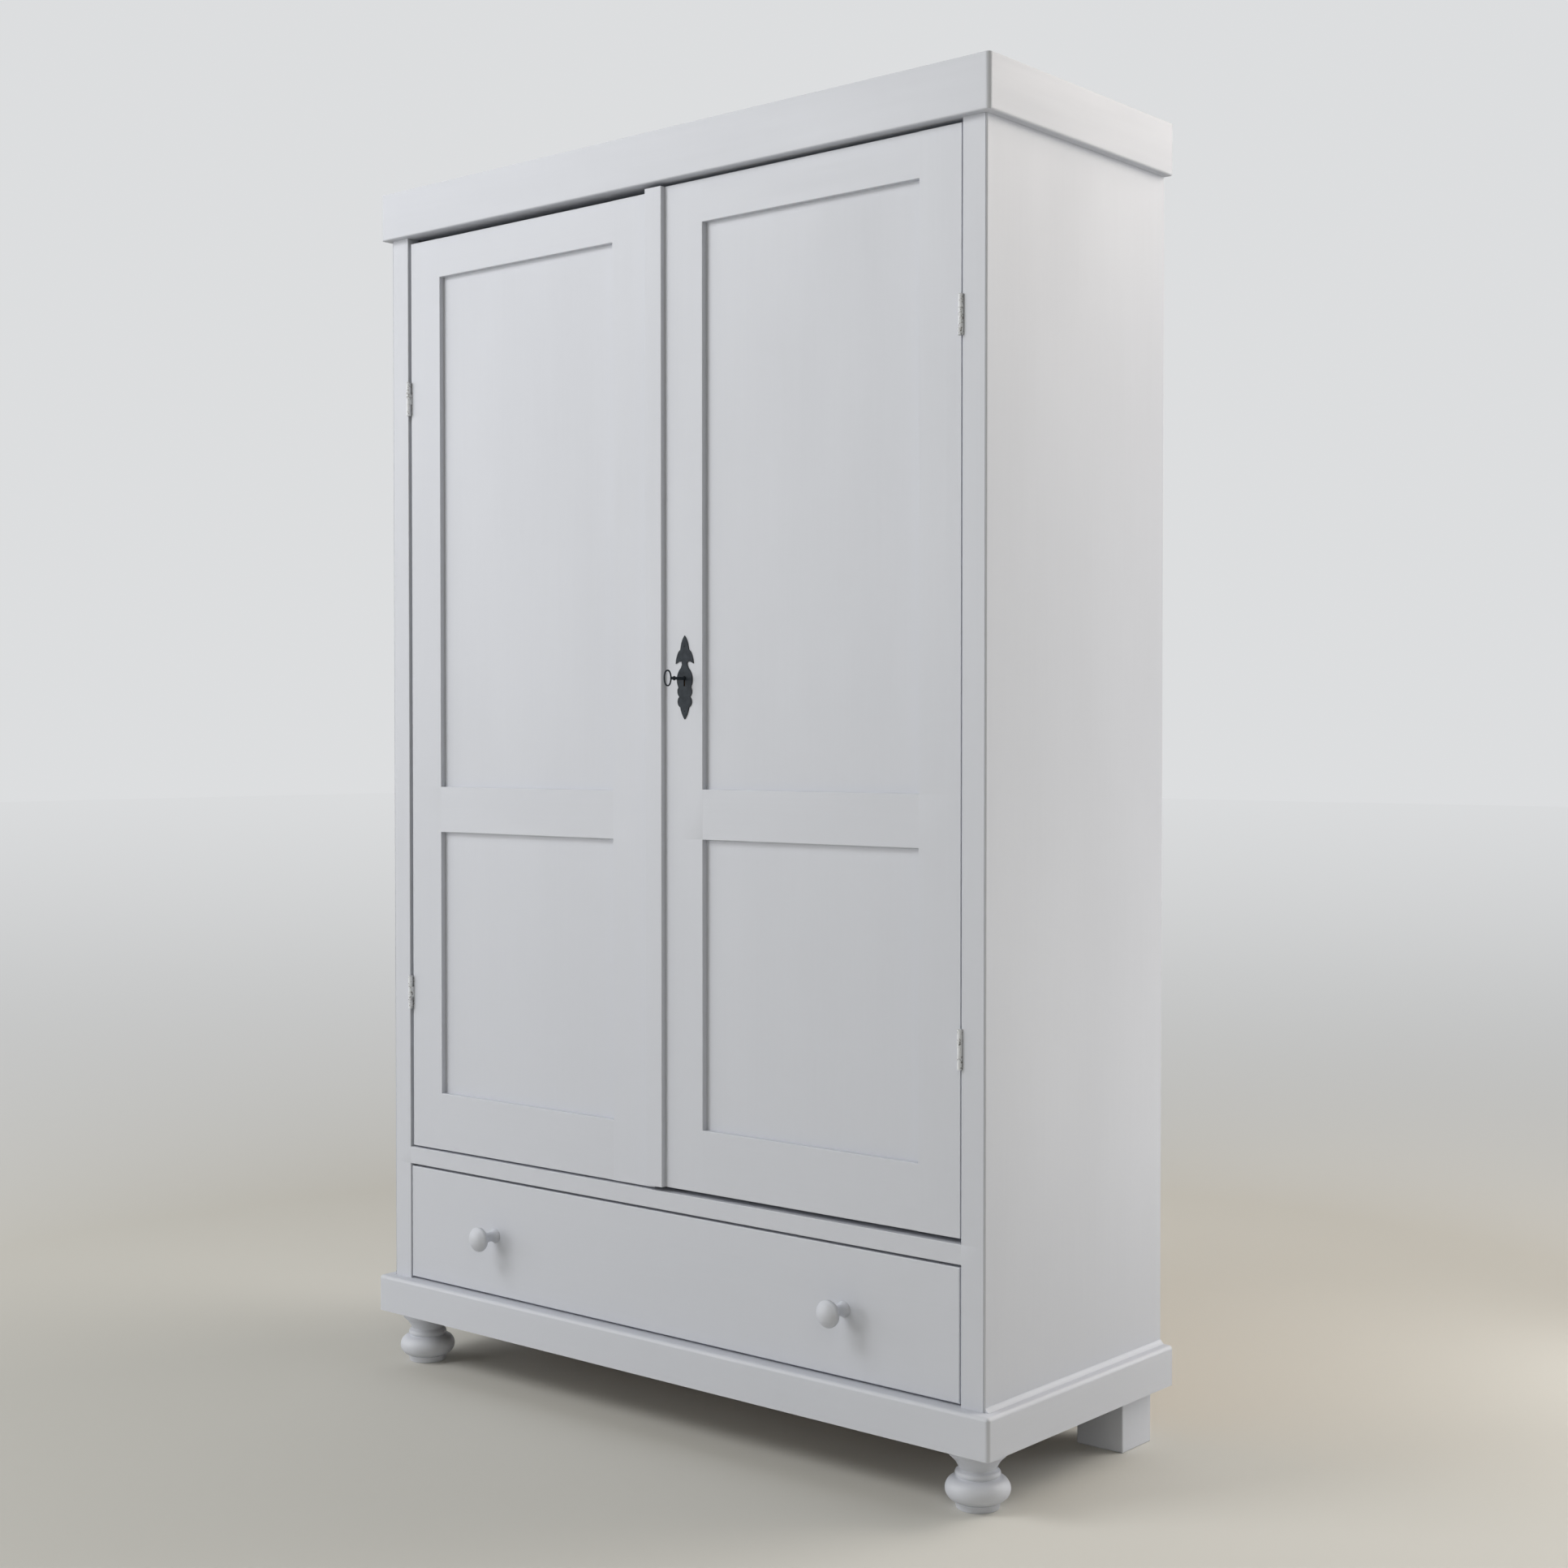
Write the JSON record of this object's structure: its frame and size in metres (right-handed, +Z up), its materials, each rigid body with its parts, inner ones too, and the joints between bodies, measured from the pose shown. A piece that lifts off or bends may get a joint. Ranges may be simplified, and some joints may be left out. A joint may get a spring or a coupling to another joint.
{
  "type": "tv armoire",
  "caption": "Tall painted armoire that hides a television and its equipment behind framed panel doors with a lock, with a wide drawer below, turned front feet and a flat cornice.",
  "frame": {"origin": "on the floor, under the middle of the whole piece, key and back boards included", "axes": "+Z up; the doors and the drawer face -Y; +X is to the right of someone who stands in front of it"},
  "size_m": [1.202, 0.482, 1.88],
  "materials": {
    "painted_wood": "satin paint, pale cool grey",
    "bare_pine": "bare, planed",
    "black_iron": "dark blued, dull",
    "lock_steel": "satin",
    "screw_steel": "turned"
  },
  "bodies": {
    "carcass": {"back_boards": "bare_pine", "back_left_foot": "painted_wood", "back_right_foot": "painted_wood", "bottom_board": "painted_wood", "cabinet_floor": "painted_wood", "cornice_front": "painted_wood", "cornice_left": "painted_wood", "cornice_right": "painted_wood", "frame_hinge_halves": "lock_steel", "frame_hinge_screws": "screw_steel", "front_left_foot": "painted_wood", "front_right_foot": "painted_wood", "left_drawer_guide": "bare_pine", "left_front_stile": "painted_wood", "left_side_panel": "painted_wood", "media_shelf": "painted_wood", "middle_front_rail": "painted_wood", "plinth_front": "painted_wood", "plinth_left": "painted_wood", "plinth_right": "painted_wood", "right_drawer_guide": "bare_pine", "right_front_stile": "painted_wood", "right_side_panel": "painted_wood", "top_board": "painted_wood", "top_front_rail": "painted_wood", "tv_shelf": "painted_wood"},
    "left_door": {"left_door_bolt_plates": "lock_steel", "left_door_bottom_rail": "painted_wood", "left_door_closing_stile": "painted_wood", "left_door_hinge_leaves": "lock_steel", "left_door_hinge_stile": "painted_wood", "left_door_lock_rail": "painted_wood", "left_door_lower_panel": "painted_wood", "left_door_screws": "screw_steel", "left_door_top_rail": "painted_wood", "left_door_upper_panel": "painted_wood"},
    "right_door": {"right_door_bottom_rail": "painted_wood", "right_door_closing_stile": "painted_wood", "right_door_hinge_leaves": "lock_steel", "right_door_hinge_stile": "painted_wood", "right_door_lock_rail": "painted_wood", "right_door_lower_panel": "painted_wood", "right_door_screws": "screw_steel", "right_door_top_rail": "painted_wood", "right_door_upper_panel": "painted_wood", "closing_strip": "painted_wood", "escutcheon": "black_iron", "escutcheon_nails": "black_iron", "lock_case": "lock_steel"},
    "drawer": {"drawer_back": "bare_pine", "drawer_bottom": "bare_pine", "drawer_front": "painted_wood", "drawer_left_side": "bare_pine", "drawer_right_side": "bare_pine", "left_drawer_knob": "painted_wood", "right_drawer_knob": "painted_wood"},
    "key": {"key": "black_iron"},
    "lock_bolt": {"lock_bolt": "lock_steel"},
    "left_top_bolt": {"left_top_bolt": "lock_steel"},
    "left_bottom_bolt": {"left_bottom_bolt": "lock_steel"}
  },
  "joints": [
    {"name": "right_door_swing", "type": "hinge", "parent": "carcass", "child": "right_door", "pos_m": [0.5425, -0.1985, 1.08], "axis": [0, 0, 1], "range_deg": [0, 170]},
    {"name": "left_door_swing", "type": "hinge", "parent": "carcass", "child": "left_door", "pos_m": [-0.5415, -0.1985, 1.076], "axis": [0, 0, -1], "range_deg": [0, 170]},
    {"name": "drawer_slide", "type": "slide", "parent": "carcass", "child": "drawer", "axis": [0, -1, 0], "range_m": [0, 0.3]},
    {"name": "key_turn", "type": "hinge", "parent": "right_door", "child": "key", "pos_m": [0.0559, -0.2, 1.0945], "axis": [0, 1, 0], "range_deg": [0, 360]},
    {"name": "lock_bolt_slide", "type": "slide", "parent": "right_door", "child": "lock_bolt", "axis": [-1, 0, 0], "range_m": [0, 0.01]},
    {"name": "left_top_bolt_slide", "type": "slide", "parent": "left_door", "child": "left_top_bolt", "axis": [0, 0, 1], "range_m": [0, 0.0225]},
    {"name": "left_bottom_bolt_slide", "type": "slide", "parent": "left_door", "child": "left_bottom_bolt", "axis": [0, 0, -1], "range_m": [0, 0.016]}
  ],
  "couplings": [
    {"joint": "left_door_swing", "follows": "right_door_swing", "ratio": 1},
    {"joint": "key_turn", "follows": "lock_bolt_slide", "rad_per_m": 628.3}
  ]
}
